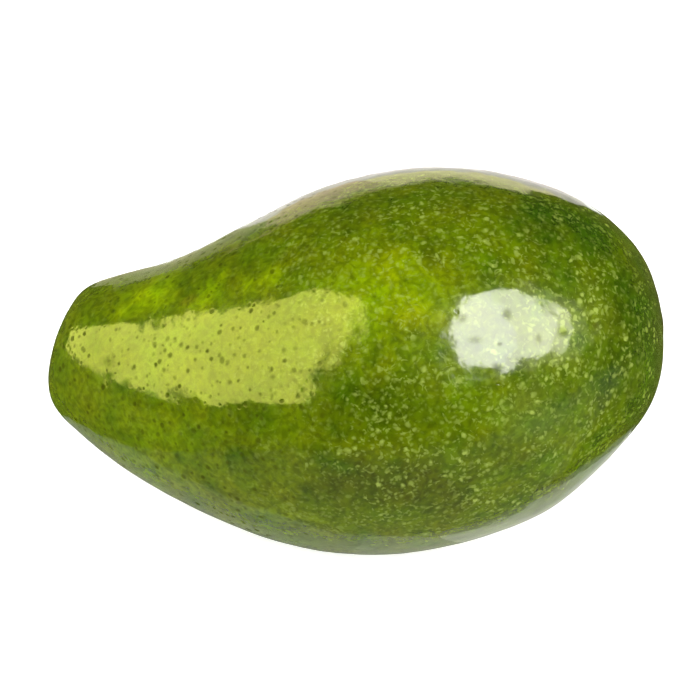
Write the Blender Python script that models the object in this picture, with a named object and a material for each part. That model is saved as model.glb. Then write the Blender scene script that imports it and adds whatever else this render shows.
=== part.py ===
"""A whole avocado of the smooth, green, pear-shaped kind, as picked, lying on its side.

Metres, +Z up. The stem end points to -X and the blossom end to +X. The origin is on the surface that
the fruit lies on, under the middle of its box.
"""

import math

import bmesh
import bpy
import numpy as np
from mathutils import Matrix, Vector, noise

MM = 0.001

# The form. Every hoop is an upright oval ring round the fruit. Its two ends are points of the outline
# that shows when the fruit is level and is seen from straight above: (x, y) of the far end and (x, y) of
# the near end, in mm. Between the hoops the surface follows one smooth closed curve. The stem pole and
# the blossom pole close the two ends.
STEM_POLE = (-55.5, 10.8)
HOOPS = (
    ((-54.7, 16.9), (-58.2, 5.4)),
    ((-52.8, 20.8), (-60.0, -0.4)),
    ((-46.0, 22.8), (-55.2, -8.0)),
    ((-35.0, 23.3), (-45.5, -17.5)),
    ((-23.0, 26.2), (-31.0, -27.5)),
    ((-11.5, 30.7), (-16.0, -35.0)),
    ((1.0, 35.0), (-1.5, -38.5)),
    ((15.5, 36.5), (12.5, -38.8)),
    ((28.0, 35.5), (27.0, -36.0)),
    ((40.5, 31.5), (39.0, -31.0)),
    ((50.2, 26.1), (50.1, -22.1)),
    ((57.8, 17.1), (57.7, -13.6)),
)
BLOSSOM_POLE = (61.2, 2.0)
HEIGHT_SHARE = 0.97           # an oval's height over its width: the fruit is a little flattened
STEM_BOW = 0.18               # how far a hoop's top and bottom bend back at the stem, over its height
BOW_SHARE = 0.22              # the share of the fruit over which that bend fades out
SWELL = 0.25 * MM             # how far the broad, gentle unevenness of the skin goes in and out
SWELL_LENGTH = 26.0 * MM      # from one swelling of the skin to the next

# The stem end: a shallow dimple with the corky scar that the stalk leaves.
DIMPLE_RADIUS = 7.0 * MM
DIMPLE_DEPTH = 1.2 * MM
SCAR_RADIUS = 3.6 * MM
SCAR_RISE = 0.7 * MM
SCAR_EDGE = 1.2 * MM          # width of the slope round the scar

# The blossom end: the small pit that the flower leaves.
PIT_RADIUS = 2.4 * MM
PIT_DEPTH = 0.35 * MM

# How it lies: the slim neck hangs lower than the level belly, on a small flat spot.
NECK_DIP = math.radians(8.7)
FLAT_DEPTH = 0.25 * MM
NO_SLIVER = 0.01 * MM         # the flat spot's edge takes over a point of the skin as near as this

# The mesh: strips along the fruit, rings round it, and how far the rings crowd towards the poles.
STRIPS = 64
RINGS = 54
CROWDING = 0.6

SKIN_COLOUR = (0.155, 0.232, 0.006, 1.0)
SKIN_ROUGHNESS = 0.32
SHARP_ANGLE = math.radians(40.0)


class Outline:
    """The closed smooth curve through the poles and the ends of the hoops."""

    def __init__(self):
        far_side = [far for far, _ in HOOPS]
        near_side = [near for _, near in HOOPS]
        loop = [STEM_POLE, *far_side, BLOSSOM_POLE, *reversed(near_side)]
        self.points = np.array(loop) * MM
        self.spans = self._spans()
        self.stations = np.concatenate(([0.0], np.cumsum(self.spans)))
        self.tangents = self._tangents()
        self.length = self.stations[-1]

    def _spans(self):
        """The distance to the next point, made the same on the far side and on the near side."""
        chords = np.linalg.norm(np.roll(self.points, -1, axis=0) - self.points, axis=1)
        half = len(chords) // 2
        mean = (chords[:half] + chords[half:][::-1]) / 2.0
        return np.concatenate((mean, mean[::-1]))

    def _tangents(self):
        """The direction at each point for which the curvature, too, runs on without a jump."""
        count = len(self.points)
        system = np.zeros((count, count))
        pull = np.zeros_like(self.points)
        for here in range(count):
            last = here - 1
            ahead = (here + 1) % count
            before = self.spans[last]
            after = self.spans[here]
            system[here, last] = 1.0 / before
            system[here, here] = 2.0 / before + 2.0 / after
            system[here, ahead] = 1.0 / after
            pull[here] = 3.0 * (self.points[here] - self.points[last]) / before**2
            pull[here] += 3.0 * (self.points[ahead] - self.points[here]) / after**2
        return np.linalg.solve(system, pull)

    def at(self, distance):
        """The point of the curve at a distance along it from the stem pole."""
        distance = distance % self.length
        here = int(np.searchsorted(self.stations, distance, side="right")) - 1
        here = min(here, len(self.points) - 1)
        ahead = (here + 1) % len(self.points)
        span = self.spans[here]
        t = (distance - self.stations[here]) / span
        near_point = (2.0 * t**3 - 3.0 * t**2 + 1.0) * self.points[here]
        near_pull = (t**3 - 2.0 * t**2 + t) * span * self.tangents[here]
        far_point = (3.0 * t**2 - 2.0 * t**3) * self.points[ahead]
        far_pull = (t**3 - t**2) * span * self.tangents[ahead]
        return Vector((*(near_point + near_pull + far_point + far_pull), 0.0))

    def surface(self, share, turn):
        """The skin's point at a share of the way from stem to blossom, turned round the hoop there."""
        far = self.at(share * self.length / 2.0)
        near = self.at(self.length - share * self.length / 2.0)
        reach = (far - near) / 2.0
        rise = reach.length * HEIGHT_SHARE * math.sin(turn)
        bow = STEM_BOW * rise * math.sin(turn) * (1.0 - ease(share / BOW_SHARE))
        return (far + near) / 2.0 + reach * math.cos(turn) + Vector((bow, 0.0, rise))


def ease(value):
    """A smooth step from 0 to 1, for a value from 0 to 1."""
    value = min(max(value, 0.0), 1.0)
    return value * value * (3.0 - 2.0 * value)


def swell_height(place, share):
    """The broad unevenness of the skin at a place, which fades out at both poles."""
    fade = ease(math.sin(math.pi * share) * 1.5)
    return SWELL * fade * noise.noise(place / SWELL_LENGTH)


def stem_relief(radius):
    """How far the skin stands out at the stem end: the dimple and the scar in it."""
    hollow = ease(1.0 - radius / DIMPLE_RADIUS)
    scar = ease((SCAR_RADIUS + SCAR_EDGE - radius) / SCAR_EDGE)
    return SCAR_RISE * scar - DIMPLE_DEPTH * hollow


def blossom_relief(radius):
    """How far the skin stands out at the blossom end: the small pit."""
    return -PIT_DEPTH * ease(1.0 - radius / PIT_RADIUS)


def shape_skin(mesh, outline):
    """Moves the points of a unit ball to the fruit's skin."""
    stem_pole = outline.surface(0.0, 0.0)
    blossom_pole = outline.surface(1.0, 0.0)
    places = {}
    for point in mesh.verts:
        down = math.acos(min(max(point.co.z, -1.0), 1.0)) / math.pi
        share = down - CROWDING * math.sin(math.tau * down) / math.tau
        turn = math.atan2(point.co.y, point.co.x)
        place = outline.surface(share, turn)
        relief = swell_height(place, share)
        relief += stem_relief((place - stem_pole).length)
        relief += blossom_relief((place - blossom_pole).length)
        places[point] = (place, relief)
    for point, (place, _) in places.items():
        point.co = place
    bmesh.ops.recalc_face_normals(mesh, faces=mesh.faces)
    mesh.normal_update()
    for point, (place, relief) in places.items():
        point.co = place + point.normal * relief


def lay_down(mesh):
    """Dips the neck, presses the small flat spot and brings the origin under the middle."""
    bmesh.ops.rotate(mesh, verts=mesh.verts, cent=(0.0, 0.0, 0.0), matrix=Matrix.Rotation(-NECK_DIP, 3, "Y"))
    base = min(point.co.z for point in mesh.verts) + FLAT_DEPTH
    cut = bmesh.ops.bisect_plane(
        mesh,
        geom=mesh.verts[:] + mesh.edges[:] + mesh.faces[:],
        dist=NO_SLIVER,
        plane_co=(0.0, 0.0, base),
        plane_no=(0.0, 0.0, 1.0),
        clear_inner=True,
    )
    rim = [part for part in cut["geom_cut"] if isinstance(part, bmesh.types.BMEdge)]
    for edge in rim:
        for point in edge.verts:
            point.co.z = base
    bmesh.ops.edgeloop_fill(mesh, edges=rim)
    bmesh.ops.recalc_face_normals(mesh, faces=mesh.faces)
    xs = [point.co.x for point in mesh.verts]
    ys = [point.co.y for point in mesh.verts]
    middle = Vector(((min(xs) + max(xs)) / 2.0, (min(ys) + max(ys)) / 2.0, base))
    bmesh.ops.translate(mesh, verts=mesh.verts, vec=-middle)


def skin_material():
    """Waxy green avocado skin."""
    material = bpy.data.materials.new("waxy_green_skin")
    material.use_nodes = True
    shader = material.node_tree.nodes["Principled BSDF"]
    shader.inputs["Base Color"].default_value = SKIN_COLOUR
    shader.inputs["Roughness"].default_value = SKIN_ROUGHNESS
    shader.inputs["Metallic"].default_value = 0.0
    return material


def make_avocado():
    """The whole fruit, one solid: skin, flesh and stone have grown together."""
    skin = bmesh.new()
    bmesh.ops.create_uvsphere(skin, u_segments=STRIPS, v_segments=RINGS, radius=1.0)
    shape_skin(skin, Outline())
    lay_down(skin)
    mesh = bpy.data.meshes.new("avocado")
    skin.to_mesh(mesh)
    skin.free()
    mesh.shade_smooth()
    mesh.set_sharp_from_angle(angle=SHARP_ANGLE)
    mesh.materials.append(skin_material())
    avocado = bpy.data.objects.new("avocado", mesh)
    bpy.context.scene.collection.objects.link(avocado)
    return avocado


for leftover in list(bpy.data.objects):
    bpy.data.objects.remove(leftover, do_unlink=True)
make_avocado()
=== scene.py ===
"""A smooth green avocado lying on a pale studio floor.

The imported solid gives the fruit's size, place and form. Here it is rebuilt as one fine, softly uneven
skin, dressed in waxy rind with its pale pores, dark specks and scars, and lit by two softboxes.
"""

import logging
import math
from dataclasses import dataclass
from enum import Enum

import bmesh
import bpy
from mathutils import Matrix, Vector, noise


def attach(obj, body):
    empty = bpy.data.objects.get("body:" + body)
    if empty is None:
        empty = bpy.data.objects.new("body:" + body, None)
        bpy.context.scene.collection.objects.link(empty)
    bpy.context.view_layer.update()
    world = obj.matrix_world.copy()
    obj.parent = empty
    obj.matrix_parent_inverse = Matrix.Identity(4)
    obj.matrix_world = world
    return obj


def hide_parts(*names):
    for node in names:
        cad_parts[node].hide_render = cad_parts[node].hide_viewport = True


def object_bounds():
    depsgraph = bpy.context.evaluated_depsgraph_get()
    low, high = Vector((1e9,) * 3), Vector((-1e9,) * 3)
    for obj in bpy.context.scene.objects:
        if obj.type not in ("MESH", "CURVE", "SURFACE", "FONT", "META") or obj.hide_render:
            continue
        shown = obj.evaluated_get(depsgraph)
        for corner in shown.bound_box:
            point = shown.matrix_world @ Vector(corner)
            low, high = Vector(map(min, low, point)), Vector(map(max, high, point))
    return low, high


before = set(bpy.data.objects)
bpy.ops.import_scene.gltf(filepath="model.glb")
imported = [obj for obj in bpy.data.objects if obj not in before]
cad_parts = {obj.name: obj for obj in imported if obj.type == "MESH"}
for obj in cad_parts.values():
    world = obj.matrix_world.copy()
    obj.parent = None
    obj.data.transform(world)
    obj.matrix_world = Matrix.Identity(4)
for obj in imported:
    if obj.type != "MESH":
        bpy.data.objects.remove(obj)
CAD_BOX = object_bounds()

MM = 0.001
LOG = logging.getLogger("avocado")
SAME_PLACE = 0.001 * MM           # points of the solid as near as this are one point
Colour = tuple[float, float, float, float]
Point = tuple[float, float, float]
Socket = bpy.types.NodeSocket
Tree = bpy.types.NodeTree


def linear(code: str) -> Colour:
    """Turns an sRGB colour into the linear one that a shader takes.

    Args:
        code: The colour as a hex code, such as "#6f8414".

    Returns:
        Red, green, blue and an alpha of one.
    """
    channels = [int(code[start:start + 2], 16) / 255.0 for start in (1, 3, 5)]
    red, green, blue = (c / 12.92 if c <= 0.04045 else ((c + 0.055) / 1.055) ** 2.4 for c in channels)
    return (red, green, blue, 1.0)


def ease(value: float) -> float:
    """A smooth step from 0 to 1, for a value from 0 to 1."""
    value = min(max(value, 0.0), 1.0)
    return value * value * (3.0 - 2.0 * value)


def add_node(tree: Tree, kind: str, sockets: dict[int | str, object],
             **settings: object) -> bpy.types.Node:
    """Adds one node to a tree, with its settings and links.

    Args:
        tree: The node tree that gets the node.
        kind: The node's type, such as "ShaderNodeMath".
        sockets: What each input, by its number or name, gets: another node's output, or a value.
        settings: The node's own properties.

    Returns:
        The new node.
    """
    node = tree.nodes.new(kind)
    for name, setting in settings.items():
        setattr(node, name, setting)
    for key, given in sockets.items():
        if isinstance(given, bpy.types.NodeSocket):
            tree.links.new(given, node.inputs[key])
        else:
            node.inputs[key].default_value = given
    return node


def lay_over(tree: Tree, colour: Socket | Colour, code: str, mask: Socket, strength: float) -> Socket:
    """Lays one colour over another where a mask says so.

    Args:
        tree: The material's nodes.
        colour: The colour below.
        code: The colour on top, as a hex code.
        mask: Where the colour on top shows, from 0 to 1.
        strength: How far it covers the other where the mask is 1.

    Returns:
        The colour of both.
    """
    share = add_node(tree, "ShaderNodeMath", {0: mask, 1: strength}, operation="MULTIPLY")
    mix = add_node(tree, "ShaderNodeMix", {0: share.outputs[0], 6: colour, 7: linear(code)},
                   data_type="RGBA")
    return mix.outputs[2]


class End(Enum):
    """The two ends of the fruit, by the way each one points along X."""

    STEM = -1
    BLOSSOM = 1


@dataclass(frozen=True)
class Spots:
    """Small round spots that are strewn over the rind one by one."""

    spacing: float                # mm between the cells that may hold a spot
    radius: float                 # mm, of the largest
    softness: float               # mm over which a spot's edge fades
    share: float                  # how many of the cells hold one
    wander: float                 # mm by which the spots are pulled out of round
    seed: float                   # mm that this kind's pattern is moved by
    smallest: float = 0.4         # the smallest spot's radius over the largest one's
    faintest: float = 0.45        # how dense the faintest spot is

    def mask(self, tree: Tree, place: Socket) -> Socket:
        """Builds the spots' mask.

        Args:
            tree: The material's nodes.
            place: The point on the rind, in mm.

        Returns:
            A socket that is 1 in the middle of a spot and 0 between the spots.
        """
        pull = add_node(tree, "ShaderNodeTexNoise",
                        {"Vector": place, "Scale": 0.5 / self.radius, "Detail": 1.0})
        moved = add_node(tree, "ShaderNodeVectorMath",
                         {0: pull.outputs["Color"], 1: (2.0 * self.wander,) * 3, 2: place},
                         operation="MULTIPLY_ADD")
        seeded = add_node(tree, "ShaderNodeVectorMath", {0: moved.outputs[0], 1: (self.seed,) * 3},
                          operation="ADD")
        cells = add_node(tree, "ShaderNodeTexVoronoi",
                         {"Vector": seeded.outputs[0], "Scale": 1.0 / self.spacing, "Randomness": 1.0})
        draw = add_node(tree, "ShaderNodeSeparateColor", {0: cells.outputs["Color"]})
        chosen = add_node(tree, "ShaderNodeMath", {0: draw.outputs[0], 1: self.share},
                          operation="LESS_THAN")
        size = add_node(tree, "ShaderNodeMapRange",
                        {0: draw.outputs[1], 3: self.smallest * self.radius / self.spacing,
                         4: self.radius / self.spacing})
        inner = add_node(tree, "ShaderNodeMath", {0: size.outputs[0], 1: self.softness / self.spacing},
                         operation="SUBTRACT")
        spot = add_node(tree, "ShaderNodeMapRange",
                        {0: cells.outputs["Distance"], 1: size.outputs[0], 2: inner.outputs[0]},
                        interpolation_type="SMOOTHSTEP")
        depth = add_node(tree, "ShaderNodeMapRange", {0: draw.outputs[2], 3: self.faintest, 4: 1.0})
        deep = add_node(tree, "ShaderNodeMath", {0: spot.outputs[0], 1: depth.outputs[0]},
                        operation="MULTIPLY")
        kept = add_node(tree, "ShaderNodeMath", {0: deep.outputs[0], 1: chosen.outputs[0]},
                        operation="MULTIPLY")
        return kept.outputs[0]


@dataclass(frozen=True)
class Clouds:
    """Irregular islands all over the rind, from broad clouds down to corky pores."""

    size: float                   # mm, of one island
    low: float                    # the value of the noise at which an island begins
    high: float                   # the value at which it is full
    detail: float                 # how many finer layers its edge has
    wander: float                 # mm by which the islands are drawn out and bent
    seed: float                   # mm that this kind's pattern is moved by

    def mask(self, tree: Tree, place: Socket) -> Socket:
        """Builds the islands' mask.

        Args:
            tree: The material's nodes.
            place: The point on the rind, in mm.

        Returns:
            A socket that is 1 on an island and 0 between the islands.
        """
        pull = add_node(tree, "ShaderNodeTexNoise",
                        {"Vector": place, "Scale": 0.5 / self.size, "Detail": 0.0})
        moved = add_node(tree, "ShaderNodeVectorMath",
                         {0: pull.outputs["Color"], 1: (4.0 * self.wander,) * 3, 2: place},
                         operation="MULTIPLY_ADD")
        seeded = add_node(tree, "ShaderNodeVectorMath", {0: moved.outputs[0], 1: (self.seed,) * 3},
                          operation="ADD")
        grain = add_node(tree, "ShaderNodeTexNoise",
                         {"Vector": seeded.outputs[0], "Scale": 1.0 / self.size, "Detail": self.detail})
        island = add_node(tree, "ShaderNodeMapRange",
                          {0: grain.outputs[0], 1: self.low, 2: self.high},
                          interpolation_type="SMOOTHSTEP")
        return island.outputs[0]


@dataclass(frozen=True)
class Zone:
    """A soft area of another green, a mark, or painted light, at one place of the rind."""

    middle: Point                 # mm
    reach: Point                  # mm, from the middle to where it has faded, along X, Y and Z
    code: str
    strength: float
    wander: float = 14.0          # mm by which its edge is pulled about
    bare: float = 0.0             # how far the wax is worn off it
    core: float = 0.15            # the share of its reach within which it is full

    def mask(self, tree: Tree, place: Socket, pull: Socket) -> Socket:
        """Builds the area's mask.

        Args:
            tree: The material's nodes.
            place: The point on the rind, in mm.
            pull: A direction for each place, in which the area's edge is pulled about.

        Returns:
            A socket that is 1 in the middle of the area and 0 outside it.
        """
        scale = tuple(1.0 / reach for reach in self.reach)
        shift = tuple(-middle / reach for middle, reach in zip(self.middle, self.reach))
        ragged = add_node(tree, "ShaderNodeVectorMath", {0: pull, 1: (self.wander,) * 3, 2: place},
                          operation="MULTIPLY_ADD")
        inside = add_node(tree, "ShaderNodeMapping",
                          {"Vector": ragged.outputs[0], "Location": shift, "Scale": scale})
        length = add_node(tree, "ShaderNodeVectorMath", {0: inside.outputs[0]}, operation="LENGTH")
        mask = add_node(tree, "ShaderNodeMapRange", {0: length.outputs["Value"], 1: 1.0, 2: self.core},
                        interpolation_type="SMOOTHSTEP")
        return mask.outputs[0]


@dataclass(frozen=True)
class WaxyRind:
    """Avocado rind, grown: a thin tough green peel under a smooth natural wax.

    The wax is a clear coat that mirrors the lights with a crisp but wavy edge. The matt peel below is
    mottled in yellow-olive and deep green, strewn with pale corky pores on the belly and with dark, sunken
    ones on the neck. No wax lies on dark pores and scars, so that they show dark in the highlights.
    """

    neck_green: str = "#465402"       # yellow-olive
    belly_green: str = "#445202"
    deep_green: str = "#223a02"       # towards the blossom end and in the mottling's dark parts
    bright_green: str = "#566a00"     # the mottling's light parts
    fleck: str = "#82923e"            # pale corky pores
    speck: str = "#2e3404"            # dark, healed pores
    russet: str = "#3a3a08"           # brownish rubbed marks
    cork: str = "#4f3b22"             # the stalk's scar
    cork_dark: str = "#2b1f12"
    index: float = 1.45               # plant wax
    wax: float = 0.10                 # how rough the wax is
    peel: float = 0.6                 # how rough the peel is
    belly_from: Point = (-40.0, 10.0, 1.0)    # the X in mm where the belly's green begins, the X where
    deep_from: Point = (15.0, 62.0, 0.5)      # it is full, and how far it covers; the same for deep
    bends: float = 7.0                # mm, of the waves that bend the areas' edges and shift the hue
    light_clouds: Clouds = Clouds(16.0, 0.48, 0.72, 2.0, 0.0, 11.0)
    light_cover: float = 0.35
    dark_clouds: Clouds = Clouds(6.0, 0.5, 0.75, 2.0, 1.0, 29.0)
    dark_cover: float = 0.5
    mottling: Clouds = Clouds(1.3, 0.3, 0.7, 2.0, 0.5, 53.0)    # cell groups of the peel
    lightness: tuple[float, float] = (0.76, 1.24)     # of the mottling, from its dark to its light parts
    hues: tuple[float, float] = (0.485, 0.515)        # where 0.5 leaves a colour's hue as it is
    flecks: Spots = Spots(1.5, 0.85, 0.6, 0.8, 0.7, 7.0)        # soft-edged, so most look 0.4 to 1 mm
    fine_flecks: Spots = Spots(1.1, 0.6, 0.45, 0.75, 0.4, 41.0)
    fine_density: float = 0.7
    worms: Clouds = Clouds(0.95, 0.55, 0.72, 1.0, 0.4, 61.0)    # short curved flecks, where pores touch
    worm_density: float = 0.5
    crowds: Clouds = Clouds(8.0, 0.35, 0.65, 2.0, 0.0, 71.0)    # where the flecks crowd
    sparse: float = 0.4               # how dense the flecks are between the crowds
    crowding_and_glints: float = 1.1             # how much denser they are there; partly painted glints of the right highlight
    fleck_range: Point = (-30.0, 13.0, 0.15)  # X in mm where they begin and are full; share on the neck
    fleck_cover: float = 0.8
    specks: Spots = Spots(1.75, 0.82, 0.45, 0.9, 0.3, 83.0)
    faint_specks: Spots = Spots(1.6, 0.75, 0.5, 0.7, 0.25, 97.0)
    faintness: float = 0.7
    speck_range: tuple[float, float] = (14.0, -20.0)  # X in mm where they begin and are full
    pits: Spots = Spots(4.5, 0.8, 0.45, 0.7, 0.9, 113.0)        # the few dark ones on the belly
    pit_density: float = 0.5
    speck_cover: float = 0.9
    speck_depth: float = 0.020        # mm
    marks: Spots = Spots(9.0, 1.5, 0.9, 0.35, 1.6, 127.0)       # where branches rubbed it
    mark_cover: float = 0.5
    cork_pores: Clouds = Clouds(0.9, 0.3, 0.7, 3.0, 0.0, 5.0)   # the lighter grains of the cork
    stalk_scar: tuple[float, float] = (5.0, 0.7)      # mm: how far it reaches, and how wide its edge is
    flower_scar: tuple[float, float] = (2.1, 0.8)
    scar_wobble: float = 1.6          # mm by which a scar's edge goes in and out
    grain: float = 1.6                # mm; real wax grain is too fine to show, so it is drawn this coarse
    grain_rise: float = 0.012         # mm
    bare_fleck: float = 0.05          # how far the wax is gone from a pale pore
    bare_speck: float = 0.9           # and from a dark one
    bare_mark: float = 0.5            # and from a rubbed mark
    bare_scar: float = 0.9
    pore_crowd_and_glints: Zone = Zone((38.0, -14.0, 63.0), (13.0, 14.0, 12.0), "#5e721c", 0.45)   # most pale pores, partly painted glints of the right highlight
    zones: tuple[Zone, ...] = (
        Zone((8.0, -13.0, 70.0), (19.0, 17.0, 13.0), "#687a00", 0.75),     # painted light: lighter yellow-green on the upper side, where the softboxes fall
        Zone((-40.0, 3.5, 51.0), (15.0, 7.5, 8.0), "#6e8000", 0.85, 9.0),  # painted light too, on the neck, by its highlight
        Zone((33.0, -27.0, 55.0), (13.0, 8.0, 8.0), "#56682a", 0.35),      # painted reflection: a greyish haze of the bright floor, low on the right
        Zone((-27.0, -1.5, 59.0), (10.0, 5.0, 5.0), "#6c7e00", 0.65),      # painted light too, two areas between the first two
        Zone((-16.5, -5.5, 65.0), (9.0, 5.0, 5.0), "#6c7e00", 0.75),
        Zone((-36.0, -17.0, 46.5), (13.0, 6.0, 6.0), "#2a3c00", 0.6, 7.0),    # deeper, under the neck's
        Zone((-18.0, -25.0, 52.0), (14.0, 6.0, 6.0), "#2a3c00", 0.6, 7.0),    # highlight
        Zone((-4.0, 10.0, 69.0), (18.0, 6.0, 7.0), "#2e4002", 0.5, 7.0),   # deeper, along the top
        Zone((40.0, 6.0, 66.0), (20.0, 14.0, 14.0), "#1e3a02", 0.8),       # deep green, upper right
        Zone((54.0, -8.0, 52.0), (10.0, 22.0, 20.0), "#1e3602", 0.6),      # and at the blossom end
        Zone((3.0, -29.0, 58.0), (15.0, 8.5, 8.5), "#2a3c00", 0.8),        # below the neck's bend
        Zone((3.0, -36.0, 45.0), (28.0, 10.0, 10.0), "#2e3402", 0.75),     # olive-brown, low in front
        Zone((19.0, -35.5, 40.0), (9.0, 6.0, 9.0), "#2c3402", 0.5),        # and on both sides of that
        Zone((-20.0, -31.0, 45.0), (7.0, 6.0, 6.0), "#2e3a00", 0.55),
        Zone((-13.0, -35.0, 32.5), (13.0, 6.0, 5.0), "#5e6e10", 0.5),      # paler, below
        Zone((48.0, -20.0, 49.0), (8.0, 7.0, 7.0), "#243402", 0.8),        # deeper, low on the right
        Zone((-3.0, 5.0, 71.0), (9.0, 5.0, 5.0), "#2e4002", 0.5, 7.0),     # and behind the bend
        Zone((14.0, -5.0, 73.0), (2.6, 6.0, 4.0), "#2a3602", 0.6, 5.0),    # an upright smudge
        Zone((-30.7, -1.6, 57.5), (4.5, 2.5, 2.5), "#44380a", 0.6, 5.0),   # a brownish mark
        Zone((38.3, -15.7, 63.8), (2.5, 1.6, 1.6), "#262a08", 0.85, 3.0, 0.85),   # worn marks in the
        Zone((28.2, -15.2, 68.4), (1.6, 1.8, 1.5), "#3a4010", 0.6, 3.0, 0.55),    # right highlight
        Zone((26.2, -23.5, 63.2), (1.8, 1.2, 1.2), "#2c3008", 0.6, 2.0, 0.6),
        Zone((33.6, -18.3, 64.7), (1.1, 1.5, 1.3), "#3a4010", 0.6, 2.0, 0.45),
        Zone((19.8, -16.7, 69.0), (1.3, 1.3, 1.2), "#3a4010", 0.6, 2.0, 0.45),
        Zone((22.1, -20.0, 66.7), (2.2, 1.2, 1.2), "#3a4010", 0.5, 2.0, 0.35),
        Zone((-42.5, -12.5, 44.0), (3.6, 2.2, 2.2), "#3c4a0a", 0.7, 5.0, 0.8),    # and in the left one
        Zone((-46.5, -8.5, 43.5), (3.4, 1.8, 1.8), "#3c4a0a", 0.7, 5.0, 0.75),
        Zone((-46.3, -6.0, 45.4), (5.5, 2.2, 2.2), "#3c4a0a", 0.6, 5.0, 0.6),
        Zone((-50.0, -4.0, 45.0), (13.0, 15.0, 15.0), "#465402", 0.0, 14.0, 0.28),   # thin wax, no tint
    )

    def material(self, stem: Vector, blossom: Vector) -> bpy.types.Material:
        """Makes the rind's material.

        Args:
            stem: The middle of the stem end, in metres.
            blossom: The middle of the blossom end, in metres.

        Returns:
            The material.
        """
        made = bpy.data.materials.new("waxy_avocado_rind")
        made.use_nodes = True
        tree = made.node_tree
        shader = tree.nodes["Principled BSDF"]
        object_place = add_node(tree, "ShaderNodeTexCoord", {})
        place = add_node(tree, "ShaderNodeVectorMath",
                         {0: object_place.outputs["Object"], "Scale": 1.0 / MM},
                         operation="SCALE").outputs[0]
        broad = add_node(tree, "ShaderNodeTexNoise",
                         {"Vector": place, "Scale": 1.0 / self.bends, "Detail": 2.0})
        pull = add_node(tree, "ShaderNodeVectorMath", {0: broad.outputs["Color"], 1: (0.5,) * 3},
                        operation="SUBTRACT").outputs[0]
        pale, dark = self._pores(tree, place, pull)
        rubbed = self.marks.mask(tree, place)
        scar = self._scars(tree, place, stem / MM, blossom / MM)
        grains = add_node(tree, "ShaderNodeMath", {0: scar, 1: self.cork_pores.mask(tree, place)},
                          operation="MULTIPLY").outputs[0]
        colour = self._ground(tree, place)
        worn = [(pale, self.bare_fleck), (dark, self.bare_speck), (rubbed, self.bare_mark),
                (scar, self.bare_scar)]
        for zone in (*self.zones, self.pore_crowd_and_glints):
            mask = zone.mask(tree, place, pull)
            colour = lay_over(tree, colour, zone.code, mask, zone.strength)
            if zone.bare > 0.0:
                worn.append((mask, zone.bare))
        colour = self._mottled(tree, place, broad.outputs[0], colour)
        colour = lay_over(tree, colour, self.fleck, pale, self.fleck_cover)
        colour = lay_over(tree, colour, self.speck, dark, self.speck_cover)
        colour = lay_over(tree, colour, self.russet, rubbed, self.mark_cover)
        colour = lay_over(tree, colour, self.cork_dark, scar, 1.0)
        colour = lay_over(tree, colour, self.cork, grains, 1.0)
        bare = 0.0
        for mask, bareness in worn:
            patch = add_node(tree, "ShaderNodeMath", {0: mask, 1: bareness}, operation="MULTIPLY")
            bare = add_node(tree, "ShaderNodeMath", {0: patch.outputs[0], 1: bare},
                            operation="MAXIMUM").outputs[0]
        wax = add_node(tree, "ShaderNodeMath", {0: 1.0, 1: bare}, operation="SUBTRACT")
        relief = self._relief(tree, place, dark)
        tree.links.new(colour, shader.inputs["Base Color"])
        tree.links.new(wax.outputs[0], shader.inputs["Coat Weight"])
        tree.links.new(relief, shader.inputs["Normal"])
        tree.links.new(relief, shader.inputs["Coat Normal"])
        shader.inputs["Roughness"].default_value = self.peel
        shader.inputs["Specular IOR Level"].default_value = 0.0
        shader.inputs["Coat Roughness"].default_value = self.wax
        shader.inputs["Coat IOR"].default_value = self.index
        return made

    def _ground(self, tree: Tree, place: Socket) -> Socket:
        """Builds the peel's own greens.

        Args:
            tree: The material's nodes.
            place: The point on the rind, in mm.

        Returns:
            The colour.
        """
        axes = add_node(tree, "ShaderNodeSeparateXYZ", {0: place})
        colour = linear(self.neck_green)
        for code, (begin, full, cover) in ((self.belly_green, self.belly_from),
                                           (self.deep_green, self.deep_from)):
            along = add_node(tree, "ShaderNodeMapRange", {0: axes.outputs[0], 1: begin, 2: full},
                             interpolation_type="SMOOTHSTEP")
            colour = lay_over(tree, colour, code, along.outputs[0], cover)
        return colour

    def _mottled(self, tree: Tree, place: Socket, broad: Socket, colour: Socket) -> Socket:
        """Mottles the peel, from broad clouds down to a fine grain.

        Args:
            tree: The material's nodes.
            place: The point on the rind, in mm.
            broad: A broad noise that shifts the hue.
            colour: The colour below.

        Returns:
            The colour with the mottling.
        """
        light = self.light_clouds.mask(tree, place)
        colour = lay_over(tree, colour, self.bright_green, light, self.light_cover)
        dark = self.dark_clouds.mask(tree, place)
        colour = lay_over(tree, colour, self.deep_green, dark, self.dark_cover)
        value = add_node(tree, "ShaderNodeMapRange",
                         {0: self.mottling.mask(tree, place), 3: self.lightness[0], 4: self.lightness[1]})
        hue = add_node(tree, "ShaderNodeMapRange",
                       {0: broad, 1: 0.3, 2: 0.7, 3: self.hues[0], 4: self.hues[1]})
        return add_node(tree, "ShaderNodeHueSaturation",
                        {"Hue": hue.outputs[0], "Value": value.outputs[0], "Color": colour}).outputs[0]

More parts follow.
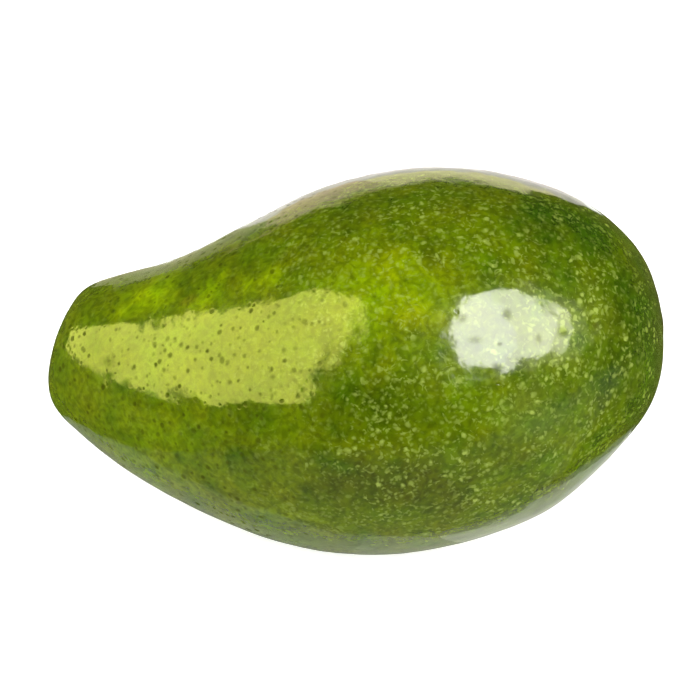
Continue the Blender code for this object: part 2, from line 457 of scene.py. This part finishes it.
    def _pores(self, tree: Tree, place: Socket, pull: Socket) -> tuple[Socket, Socket]:
        """Strews the pores over the peel.

        Args:
            tree: The material's nodes.
            place: The point on the rind, in mm.
            pull: A direction for each place, in which an area's edge is pulled about.

        Returns:
            The masks of the pale pores and of the dark ones.
        """
        axes = add_node(tree, "ShaderNodeSeparateXYZ", {0: place})
        begin, full, least = self.fleck_range
        on_belly = add_node(tree, "ShaderNodeMapRange",
                            {0: axes.outputs[0], 1: begin, 2: full, 3: least},
                            interpolation_type="SMOOTHSTEP").outputs[0]
        begin, full = self.speck_range
        on_neck = add_node(tree, "ShaderNodeMapRange", {0: axes.outputs[0], 1: begin, 2: full},
                           interpolation_type="SMOOTHSTEP").outputs[0]
        coarse = self.flecks.mask(tree, place)
        fine = add_node(tree, "ShaderNodeMath",
                        {0: self.fine_flecks.mask(tree, place), 1: self.fine_density},
                        operation="MULTIPLY").outputs[0]
        worms = add_node(tree, "ShaderNodeMath",
                         {0: self.worms.mask(tree, place), 1: self.worm_density, 2: coarse},
                         operation="MULTIPLY_ADD", use_clamp=True).outputs[0]
        both = add_node(tree, "ShaderNodeMath", {0: worms, 1: fine}, operation="MAXIMUM").outputs[0]
        groups = add_node(tree, "ShaderNodeMapRange",
                          {0: self.crowds.mask(tree, place), 3: self.sparse, 4: 1.0}).outputs[0]
        # The pale pores crowd round the right highlight; some of the extra ones there are painted glints
        # of it.
        crowd = add_node(tree, "ShaderNodeMath",
                         {0: self.pore_crowd_and_glints.mask(tree, place, pull), 1: self.crowding_and_glints, 2: groups},
                         operation="MULTIPLY_ADD").outputs[0]
        grouped = add_node(tree, "ShaderNodeMath", {0: both, 1: crowd}, operation="MULTIPLY",
                           use_clamp=True)
        pale = add_node(tree, "ShaderNodeMath", {0: grouped.outputs[0], 1: on_belly}, operation="MULTIPLY")
        faint = add_node(tree, "ShaderNodeMath",
                         {0: self.faint_specks.mask(tree, place), 1: self.faintness},
                         operation="MULTIPLY").outputs[0]
        deep = add_node(tree, "ShaderNodeMath", {0: self.specks.mask(tree, place), 1: faint},
                        operation="MAXIMUM").outputs[0]
        on_skin = add_node(tree, "ShaderNodeMath", {0: deep, 1: on_neck}, operation="MULTIPLY").outputs[0]
        pits = add_node(tree, "ShaderNodeMath",
                        {0: self.pits.mask(tree, place), 1: self.pit_density},
                        operation="MULTIPLY").outputs[0]
        dark = add_node(tree, "ShaderNodeMath", {0: on_skin, 1: pits}, operation="MAXIMUM")
        return pale.outputs[0], dark.outputs[0]

    def _scars(self, tree: Tree, place: Socket, stem: Vector, blossom: Vector) -> Socket:
        """Marks the corky scar of the stalk and the small one of the flower.

        Args:
            tree: The material's nodes.
            place: The point on the rind, in mm.
            stem: The middle of the stem end, in mm.
            blossom: The middle of the blossom end, in mm.

        Returns:
            A mask that is 1 on the scars.
        """
        ragged = add_node(tree, "ShaderNodeTexNoise", {"Vector": place, "Scale": 1.0, "Detail": 2.0})
        scar = 0.0
        for middle, (radius, edge) in ((stem, self.stalk_scar), (blossom, self.flower_scar)):
            reach = add_node(tree, "ShaderNodeVectorMath", {0: place, 1: middle}, operation="DISTANCE")
            wobbled = add_node(tree, "ShaderNodeMath",
                               {0: ragged.outputs[0], 1: self.scar_wobble, 2: reach.outputs["Value"]},
                               operation="MULTIPLY_ADD")
            disc = add_node(tree, "ShaderNodeMapRange",
                            {0: wobbled.outputs[0], 1: radius + edge, 2: radius},
                            interpolation_type="SMOOTHSTEP")
            scar = add_node(tree, "ShaderNodeMath", {0: disc.outputs[0], 1: scar},
                            operation="MAXIMUM").outputs[0]
        return scar

    def _relief(self, tree: Tree, place: Socket, dark: Socket) -> Socket:
        """Makes the finest relief: the dark pores and the grain of the wax.

        Args:
            tree: The material's nodes.
            place: The point on the rind, in mm.
            dark: The mask of the dark pores, which are sunken.

        Returns:
            The normal.
        """
        grain = add_node(tree, "ShaderNodeTexNoise",
                         {"Vector": place, "Scale": 1.0 / self.grain, "Detail": 1.0})
        fine = add_node(tree, "ShaderNodeBump",
                        {"Height": grain.outputs[0], "Strength": 1.0,
                         "Distance": 2.0 * self.grain_rise * MM})
        sunken = add_node(tree, "ShaderNodeBump",
                          {"Height": dark, "Strength": 1.0, "Distance": self.speck_depth * MM,
                           "Normal": fine.outputs[0]}, invert=True)
        return sunken.outputs[0]


@dataclass
class Fruit:
    """The whole avocado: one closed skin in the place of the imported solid."""

    node: str = "avocado"
    body: str = "root"
    slot: str = "skin"
    cell: float = 0.62 * MM           # the size of a face of the finished skin
    rounding: int = 12                # how often the skin is evened out before its relief is made
    inset: float = 0.10 * MM          # how far the skin is let in, so that its relief stays in the solid
    swell: float = 0.15 * MM          # broad waves of the peel
    swell_length: float = 9.5 * MM
    pebble: float = 0.042 * MM        # the finer waves that make a reflection's edge ragged
    pebble_length: float = 2.6 * MM
    spot_height: float = 0.8 * MM     # near the surface that it lies on, the skin stays smooth
    spot_edge: float = 0.08 * MM      # and up to here it has no relief at all
    pucker: float = 0.22 * MM         # folds of the skin round the stem's dimple
    puckers: int = 9
    pucker_radius: float = 6.2 * MM
    pucker_width: float = 3.72 * MM   # how far inwards and outwards of that radius they reach
    pucker_bend: float = 3.0 * MM     # the length of the waves that make them uneven
    cork_grain: float = 0.12 * MM     # the rough cork of the scar
    cork_length: float = 1.1 * MM
    cork_radius: float = 3.9 * MM
    cork_edge: float = 1.17 * MM
    facet_turn: float = 0.7           # radians, up to which two triangles are joined to one face

    def build(self, finish: WaxyRind) -> bpy.types.Object:
        """Makes the skin, gives it its relief and its finish, and puts it in the solid's place.

        Args:
            finish: The rind's finish.

        Returns:
            The finished piece.
        """
        skin = self._evened(self._copied())
        tips = {end: self._tip(skin, end) for end in End}
        self._sculpt(skin, tips)
        skin.data.materials.clear()
        skin.data.materials.append(finish.material(tips[End.STEM][0], tips[End.BLOSSOM][0]))
        skin.data.shade_smooth()
        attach(skin, self.body)
        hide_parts(self.node)
        LOG.info("%s: %d faces", skin.name, len(skin.data.polygons))
        return skin

    def _copied(self) -> bpy.types.Object:
        """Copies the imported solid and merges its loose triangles.

        Returns:
            A new object with the solid's form.
        """
        shape = bmesh.new()
        shape.from_mesh(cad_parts[self.node].data)
        bmesh.ops.remove_doubles(shape, verts=shape.verts, dist=SAME_PLACE)
        bmesh.ops.join_triangles(shape, faces=shape.faces, angle_face_threshold=self.facet_turn,
                                 angle_shape_threshold=self.facet_turn)
        mesh = bpy.data.meshes.new("avocado_skin")
        shape.to_mesh(mesh)
        shape.free()
        skin = bpy.data.objects.new("avocado_skin", mesh)
        bpy.context.scene.collection.objects.link(skin)
        return skin

    def _evened(self, skin: bpy.types.Object) -> bpy.types.Object:
        """Rounds the solid's facets off and covers it with small faces of one size.

        Args:
            skin: The copied solid.

        Returns:
            The same object, with its new mesh.
        """
        finer = skin.modifiers.new("finer", "SUBSURF")
        finer.levels = 2
        finer.render_levels = 2
        even = skin.modifiers.new("even", "REMESH")
        even.mode = "VOXEL"
        even.voxel_size = self.cell
        graph = bpy.context.evaluated_depsgraph_get()
        mesh = bpy.data.meshes.new_from_object(skin.evaluated_get(graph))
        skin.modifiers.clear()
        skin.data = mesh
        shape = bmesh.new()
        shape.from_mesh(mesh)
        for _ in range(self.rounding):
            bmesh.ops.smooth_vert(shape, verts=shape.verts, factor=0.5, use_axis_x=True, use_axis_y=True,
                                  use_axis_z=True)
        shape.to_mesh(mesh)
        shape.free()
        return skin

    def _tip(self, skin: bpy.types.Object, end: End) -> tuple[Vector, Vector]:
        """Finds the middle of one end of the fruit.

        Args:
            skin: The evened skin.
            end: Which end.

        Returns:
            The nearest point of the skin, and its outward direction there.
        """
        solid = bmesh.new()
        solid.from_mesh(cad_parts[self.node].data)
        bmesh.ops.remove_doubles(solid, verts=solid.verts, dist=SAME_PLACE)
        half = [point for point in solid.verts if point.co.x * end.value > 0.0]
        pole = max(half, key=lambda point: len(point.link_edges))
        place = pole.co.copy()
        solid.free()
        _, nearest, direction, _ = skin.closest_point_on_mesh(place)
        return nearest.copy(), direction.copy()

    def _sculpt(self, skin: bpy.types.Object, tips: dict[End, tuple[Vector, Vector]]) -> None:
        """Moves the skin's points in and out by its relief.

        Args:
            skin: The evened skin.
            tips: The middle of each end, with its direction.
        """
        mesh = skin.data
        stem, stem_axis = tips[End.STEM]
        side = stem_axis.orthogonal().normalized()
        other = stem_axis.cross(side)
        directions = [point.normal.copy() for point in mesh.vertices]
        for point, direction in zip(mesh.vertices, directions):
            place = point.co
            free = ease((place.z - self.spot_edge) / self.spot_height)
            rise = self.swell * noise.noise(place / self.swell_length) - self.inset
            rise += self.pebble * noise.noise(place / self.pebble_length)
            off = place - stem
            radius = off.length
            if radius < self.pucker_radius + self.pucker_width:
                turn = math.atan2(off.dot(other), off.dot(side))
                bent = turn + 0.5 * noise.noise(place / self.pucker_bend)
                ring = ease(1.0 - abs(radius - self.pucker_radius) / self.pucker_width)
                rise += self.pucker * ring * math.cos(self.puckers * bent)
                cork = ease((self.cork_radius - radius) / self.cork_edge)
                rise += self.cork_grain * cork * noise.fractal(place / self.cork_length, 1.0, 2.0, 3)
            point.co = place + direction * (rise * free)
        mesh.update()


def stand(shape: bmesh.types.BMesh, name: str, finish: bpy.types.Material) -> bpy.types.Object:
    """Turns a shape into a piece of the studio.

    Args:
        shape: The shape, which is freed.
        name: The piece's name.
        finish: The piece's material.

    Returns:
        The piece.
    """
    mesh = bpy.data.meshes.new(name)
    shape.to_mesh(mesh)
    shape.free()
    mesh.materials.append(finish)
    piece = bpy.data.objects.new(name, mesh)
    bpy.context.scene.collection.objects.link(piece)
    return piece


def matt(name: str, code: str, glow: float = 0.0) -> bpy.types.Material:
    """Makes matt paper or felt, pressed from short fibres, which scatters light evenly.

    Args:
        name: The material's name.
        code: Its colour, as a hex code.
        glow: How bright it is by itself, where it lies on a lit table.

    Returns:
        The material.
    """
    made = bpy.data.materials.new(name)
    made.use_nodes = True
    shader = made.node_tree.nodes["Principled BSDF"]
    shader.inputs["Base Color"].default_value = linear(code)
    shader.inputs["Roughness"].default_value = 0.9
    shader.inputs["Specular IOR Level"].default_value = 0.1
    shader.inputs["Emission Color"].default_value = (1.0, 1.0, 1.0, 1.0)
    shader.inputs["Emission Strength"].default_value = glow
    return made


def lit(name: str, code: str, brightness: float) -> bpy.types.Material:
    """Makes white woven cloth that is lit from behind, which shows as an even plain brightness.

    Args:
        name: The material's name.
        code: The light's colour, as a hex code.
        brightness: How bright it is, where 1 shows as white.

    Returns:
        The material.
    """
    made = bpy.data.materials.new(name)
    made.use_nodes = True
    shader = made.node_tree.nodes["Principled BSDF"]
    shader.inputs["Base Color"].default_value = (0.0, 0.0, 0.0, 1.0)
    shader.inputs["Specular IOR Level"].default_value = 0.0
    shader.inputs["Emission Color"].default_value = linear(code)
    shader.inputs["Emission Strength"].default_value = brightness
    return made


def only_mirrored(piece: bpy.types.Object) -> None:
    """Hides a piece of the studio from all but the wax's reflections."""
    piece.visible_camera = False
    piece.visible_diffuse = False
    piece.visible_shadow = False
    piece.visible_transmission = False


@dataclass(frozen=True)
class Cloth:
    """A sheet of lit cloth in a softbox, which only the wax mirrors."""

    code: str                                  # its colour
    brightness: float
    outline: tuple[tuple[float, float], ...]   # its corners, metres to the right and up


@dataclass(frozen=True)
class Softbox:
    """A softbox: a wide lamp that shades the fruit, and the lit cloths that the wax mirrors."""

    name: str
    right: float                  # degrees to the right of the camera, seen from the fruit
    up: float                     # degrees above the camera
    distance: float               # metres
    width: float                  # metres
    height: float                 # metres
    light: float                  # how bright the lamp is
    cloths: tuple[Cloth, ...]     # from the front one to the back one
    gap: float = 0.02             # metres from each cloth to the next

    def build(self, aim: Vector, view: Matrix) -> None:
        """Makes the lamp and the cloths.

        Args:
            aim: The point that they are turned to.
            view: The camera's right, up and backward directions, as columns.
        """
        turn = math.radians(self.right)
        tilt = math.radians(self.up)
        seen = Vector((math.cos(tilt) * math.sin(turn), math.sin(tilt), math.cos(tilt) * math.cos(turn)))
        back = (view @ seen).normalized()
        across = (view @ Vector((0.0, 1.0, 0.0))).cross(back).normalized()
        turned = Matrix((across, back.cross(across), back)).transposed().to_4x4()
        stand_point = Matrix.Translation(aim + back * self.distance) @ turned
        self._lamp(stand_point)
        for number, cloth in enumerate(self.cloths):
            self._hang(cloth, number, stand_point)

    def _lamp(self, place: Matrix) -> None:
        """Makes the lamp, which the wax doesn't mirror.

        Args:
            place: Where it stands and how it is turned.
        """
        light = bpy.data.lights.new(self.name, "AREA")
        light.shape = "RECTANGLE"
        light.size = self.width
        light.size_y = self.height
        light.energy = self.light * math.pi * self.width * self.height
        lamp = bpy.data.objects.new(self.name, light)
        lamp.matrix_world = place
        lamp.visible_camera = False
        lamp.visible_glossy = False
        bpy.context.scene.collection.objects.link(lamp)
        LOG.info("%s: %.2f by %.2f m", self.name, self.width, self.height)

    def _hang(self, cloth: Cloth, number: int, place: Matrix) -> None:
        """Makes one cloth.

        Args:
            cloth: Its colour and form.
            number: How many cloths are in front of it.
            place: Where the softbox stands and how it is turned.
        """
        shape = bmesh.new()
        depth = self.gap * number
        corners = [shape.verts.new(place @ Vector((x, y, depth))) for x, y in cloth.outline]
        shape.faces.new(corners)
        name = f"{self.name}_cloth_{number}"
        only_mirrored(stand(shape, name, lit("lit_" + name, cloth.code, cloth.brightness)))


class Stance(Enum):
    """How a card is put up."""

    LYING = "lying"
    UPRIGHT = "upright"


@dataclass(frozen=True)
class Card:
    """A card that only the wax mirrors: felt or lit cloth on the floor, or a lit screen beyond it."""

    name: str
    code: str
    outline: tuple[tuple[float, float], ...]   # mm, along X and along Y or Z
    stance: Stance = Stance.LYING
    offset: float = 1.0                        # mm above the floor, or behind the fruit
    brightness: float = 0.0                    # 0 for felt

    def build(self) -> None:
        """Makes the card."""
        shape = bmesh.new()
        for across, away in self.outline:
            if self.stance is Stance.LYING:
                corner = (across, away, self.offset)
            else:
                corner = (across, self.offset, away)
            shape.verts.new(Vector(corner) * MM)
        shape.faces.new(shape.verts[:])
        if self.brightness > 0.0:
            finish = lit(self.name + "_cloth", self.code, self.brightness)
        else:
            finish = matt(self.name + "_felt", self.code)
        only_mirrored(stand(shape, self.name, finish))


@dataclass
class Studio:
    """The pale floor, the lights and the camera."""

    elevation: float = math.radians(50.0)     # how far the camera looks down
    distance: float = 0.566                   # metres, from the camera to the middle of the fruit
    lens: float = 150.0                       # mm
    sensor: float = 36.0                      # mm
    aim_offset: Point = (-0.6 * MM, 1.6 * MM, 1.3 * MM)
    floor_radius: float = 1.6
    wall_height: float = 1.5
    wall_brightness: float = 0.9
    night: float = 0.03                       # how bright the room round the softboxes is
    floor_glow: float = 0.5                   # the floor is a lit table, so that no shadow shows
    softboxes: tuple[Softbox, ...] = (
        Softbox("softbox_left", -62.0, 16.0, 0.7, 1.05, 0.72, 5.0, (
            Cloth("#ffff78", 8.8,
                  ((-0.68, 0.24), (-0.60, 0.05), (-0.54, -0.03), (-0.47, -0.05), (-0.375, -0.15),
                   (-0.34, -0.25), (-0.20, -0.32), (-0.16, -0.27), (-0.12, -0.34), (-0.01, -0.41),
                   (0.18, -0.43), (0.36, -0.45), (0.39, -0.33), (0.38, -0.18), (0.46, -0.10),
                   (0.44, 0.02), (0.49, 0.12), (0.45, 0.25), (0.44, 0.38), (0.27, 0.43),
                   (0.08, 0.385), (-0.01, 0.335), (-0.09, 0.275), (-0.23, 0.265), (-0.25, 0.225),
                   (-0.33, 0.30), (-0.37, 0.305), (-0.55, 0.275))),
            Cloth("#ffff78", 6.0,
                  ((0.30, 0.40), (0.30, -0.45), (0.41, -0.47), (0.43, -0.33), (0.41, -0.19),
                   (0.52, -0.14), (0.50, 0.0), (0.54, 0.10), (0.51, 0.26), (0.48, 0.41))),
            Cloth("#ffff90", 2.6,
                  ((-0.70, 0.22), (-0.62, 0.01), (-0.55, -0.07), (-0.41, -0.17), (-0.35, -0.28),
                   (-0.20, -0.36), (-0.10, -0.38), (0.05, -0.44), (0.44, -0.49), (0.46, -0.20),
                   (0.57, -0.16), (0.56, 0.0), (0.59, 0.10), (0.56, 0.27), (0.50, 0.44),
                   (0.10, 0.42), (-0.10, 0.30), (-0.55, 0.30))),
        )),
        Softbox("softbox_right", 38.0, 15.0, 0.7, 0.78, 0.60, 7.0, (
            Cloth("#fffff8", 18.0,
                  ((-0.355, 0.045), (-0.35, -0.05), (-0.31, -0.155), (-0.25, -0.28), (-0.17, -0.32),
                   (-0.09, -0.20), (-0.05, 0.05), (-0.12, 0.26), (-0.22, 0.27), (-0.31, 0.17))),
            Cloth("#ffffee", 15.5,
                  ((-0.365, 0.045), (-0.36, -0.06), (-0.33, -0.165), (-0.26, -0.30), (-0.17, -0.345),
                   (-0.09, -0.295), (-0.045, -0.235), (0.10, -0.245), (0.25, -0.19), (0.25, 0.06),
                   (0.16, 0.12), (0.12, 0.18), (0.04, 0.275), (-0.07, 0.305), (-0.14, 0.30),
                   (-0.23, 0.29), (-0.325, 0.18))),
            Cloth("#ffffe4", 10.0,
                  ((0.0, 0.20), (0.0, -0.22), (0.10, -0.245), (0.295, -0.195), (0.36, -0.13),
                   (0.375, -0.06), (0.35, 0.05), (0.24, 0.10), (0.15, 0.19), (0.05, 0.27))),
            Cloth("#fff8e0", 1.2,
                  ((-0.40, 0.05), (-0.37, -0.15), (-0.28, -0.36), (0.0, -0.33), (0.30, -0.34),
                   (0.47, -0.26), (0.53, -0.05), (0.48, 0.14), (0.20, 0.26), (0.05, 0.35),
                   (-0.30, 0.35))),
        )),
    )
    cards: tuple[Card, ...] = (
        Card("card_right", "#3e3e1c",
             ((52.0, -35.0), (1400.0, -250.0), (1400.0, 1500.0), (430.0, 1500.0), (280.0, 900.0),
              (165.0, 520.0), (125.0, 340.0), (112.0, 260.0), (108.0, 200.0), (92.0, 150.0),
              (80.0, 110.0), (62.0, 92.0), (40.0, 70.0), (40.0, 14.0), (60.0, 6.0), (65.0, 3.0),
              (67.0, -9.5), (64.5, -18.0), (61.0, -26.0))),
        Card("card_left", "#30301c",
             ((-68.0, 6.0), (-56.0, 12.0), (-56.0, 60.0), (-68.0, 78.0), (-86.0, 110.0),
              (-108.0, 172.0), (-150.0, 262.0), (-255.0, 460.0), (-500.0, 860.0), (-900.0, 1500.0),
              (-1400.0, 1500.0), (-1400.0, -900.0), (-620.0, -900.0), (-78.0, -30.0), (-72.0, -4.0))),
        Card("card_back", "#a6a286",
             ((-56.0, 60.0), (-38.0, 96.0), (-60.0, 160.0), (-110.0, 280.0), (-215.0, 500.0),
              (-480.0, 1100.0), (-560.0, 1500.0), (-900.0, 1500.0), (-500.0, 860.0), (-255.0, 460.0),
              (-150.0, 262.0), (-108.0, 172.0), (-86.0, 110.0), (-68.0, 78.0))),
        Card("card_front", "#626262",
             ((31.0, -34.5), (21.0, -39.0), (10.0, -44.0), (-30.0, -48.0), (-78.0, -30.0),
              (-620.0, -900.0), (300.0, -1400.0), (1400.0, -250.0), (52.0, -35.0))),
        Card("card_near", "#929292",
             ((-2.0, -14.0), (2.0, -46.0), (-30.0, -48.0), (-78.0, -30.0), (-72.0, -4.0), (-68.0, 6.0),
              (-56.0, 12.0), (-40.0, 0.0))),
        Card("card_grey", "#a8a8a2",
             ((-2.0, -14.0), (24.0, -12.0), (22.0, -38.5), (10.0, -44.0), (2.0, -46.0))),
        Card("card_half", "#8e8e88",
             ((22.0, -30.0), (60.0, -9.0), (62.0, 1.0), (67.0, 4.0), (70.0, -10.0), (67.5, -19.0),
              (63.5, -28.5), (53.0, -38.0), (31.0, -38.0), (16.0, -43.0)), offset=1.5),
        Card("card_pale", "#d2d2cc",
             ((24.0, -12.0), (60.0, 6.0), (63.5, 2.0), (65.0, -9.0), (62.5, -17.0), (59.5, -24.5),
              (51.0, -32.5), (31.0, -32.5), (20.0, -37.0)), offset=2.0),
        Card("screen", "#fff6d8",
             ((-760.0, 0.0), (250.0, 0.0), (250.0, 70.0), (-100.0, 120.0), (-300.0, 140.0),
              (-760.0, 50.0)), Stance.UPRIGHT, 1500.0, 0.9),
        Card("warm_screen", "#ffe6ac",
             ((-860.0, 0.0), (-820.0, 50.0), (-700.0, 90.0), (-600.0, 90.0), (-520.0, 110.0),
              (-430.0, 180.0), (-371.0, 230.0), (-250.0, 185.0), (-105.0, 110.0), (-300.0, 90.0),
              (-700.0, 0.0)), Stance.UPRIGHT, 1490.0, 1.2),
        Card("near_floor", "#fff6f6",
             ((-38.0, 96.0), (-10.0, 110.0), (60.0, 100.0), (92.0, 150.0), (108.0, 200.0),
              (110.0, 230.0), (-20.0, 230.0), (-14.0, 165.0), (-62.0, 165.0)), brightness=1.5),
        Card("pink_floor", "#ffe2c6",
             ((-14.0, 165.0), (-20.0, 230.0), (-60.0, 700.0), (-200.0, 1500.0), (-560.0, 1500.0),
              (-480.0, 1100.0), (-215.0, 500.0), (-110.0, 280.0), (-62.0, 165.0)), brightness=1.6),
        Card("warm_floor", "#fff4c4",
             ((-20.0, 230.0), (110.0, 230.0), (112.0, 260.0), (125.0, 340.0), (165.0, 520.0),
              (280.0, 900.0), (430.0, 1500.0), (-200.0, 1500.0), (-60.0, 700.0)), brightness=2.25),
    )

    def build(self) -> None:
        """Makes everything round the fruit."""
        low, high = CAD_BOX
        aim = (Vector(low) + Vector(high)) / 2.0 + Vector(self.aim_offset)
        view = self._camera(aim)
        for softbox in self.softboxes:
            softbox.build(aim, view)
        for card in self.cards:
            card.build()
        self._floor()
        self._wall()
        self._room()

    def _camera(self, aim: Vector) -> Matrix:
        """Makes the camera.

        Args:
            aim: The point in the middle of the picture.

        Returns:
            The camera's right, up and backward directions, as columns.
        """
        camera = bpy.data.cameras.new("camera")
        camera.lens = self.lens
        camera.sensor_width = self.sensor
        holder = bpy.data.objects.new("camera", camera)
        back = Vector((0.0, -math.cos(self.elevation), math.sin(self.elevation)))
        across = Vector((1.0, 0.0, 0.0))
        view = Matrix((across, back.cross(across), back)).transposed()
        holder.matrix_world = Matrix.Translation(aim + back * self.distance) @ view.to_4x4()
        bpy.context.scene.collection.objects.link(holder)
        bpy.context.scene.camera = holder
        return view

    def _floor(self) -> None:
        """Makes the matt white floor, which glows a little."""
        shape = bmesh.new()
        bmesh.ops.create_circle(shape, cap_ends=True, segments=96, radius=self.floor_radius)
        stand(shape, "floor", matt("white_paper", "#f2f2f0", self.floor_glow))

    def _wall(self) -> None:
        """Makes the round wall of lit cloth that stands behind every view."""
        shape = bmesh.new()
        bmesh.ops.create_circle(shape, cap_ends=False, segments=96, radius=self.floor_radius)
        raised = bmesh.ops.extrude_edge_only(shape, edges=shape.edges)
        top = [part for part in raised["geom"] if isinstance(part, bmesh.types.BMVert)]
        bmesh.ops.translate(shape, verts=top, vec=(0.0, 0.0, self.wall_height))
        wall = stand(shape, "wall", lit("lit_wall_cloth", "#ffffff", self.wall_brightness))
        wall.visible_glossy = False
        wall.visible_diffuse = False
        wall.visible_shadow = False

    def _room(self) -> None:
        """Sets the dim room and plain colours."""
        world = bpy.data.worlds.new("room")
        world.use_nodes = True
        world.node_tree.nodes["Background"].inputs["Color"].default_value = (1.0, 1.0, 1.0, 1.0)
        world.node_tree.nodes["Background"].inputs["Strength"].default_value = self.night
        bpy.context.scene.world = world
        bpy.context.scene.view_settings.view_transform = "Standard"


def main() -> None:
    """Builds the fruit and the studio, and notes the sizes."""
    logging.basicConfig(level=logging.INFO, format="%(name)s: %(message)s")
    Fruit().build(WaxyRind())
    Studio().build()


if __name__ == "__main__":
    main()
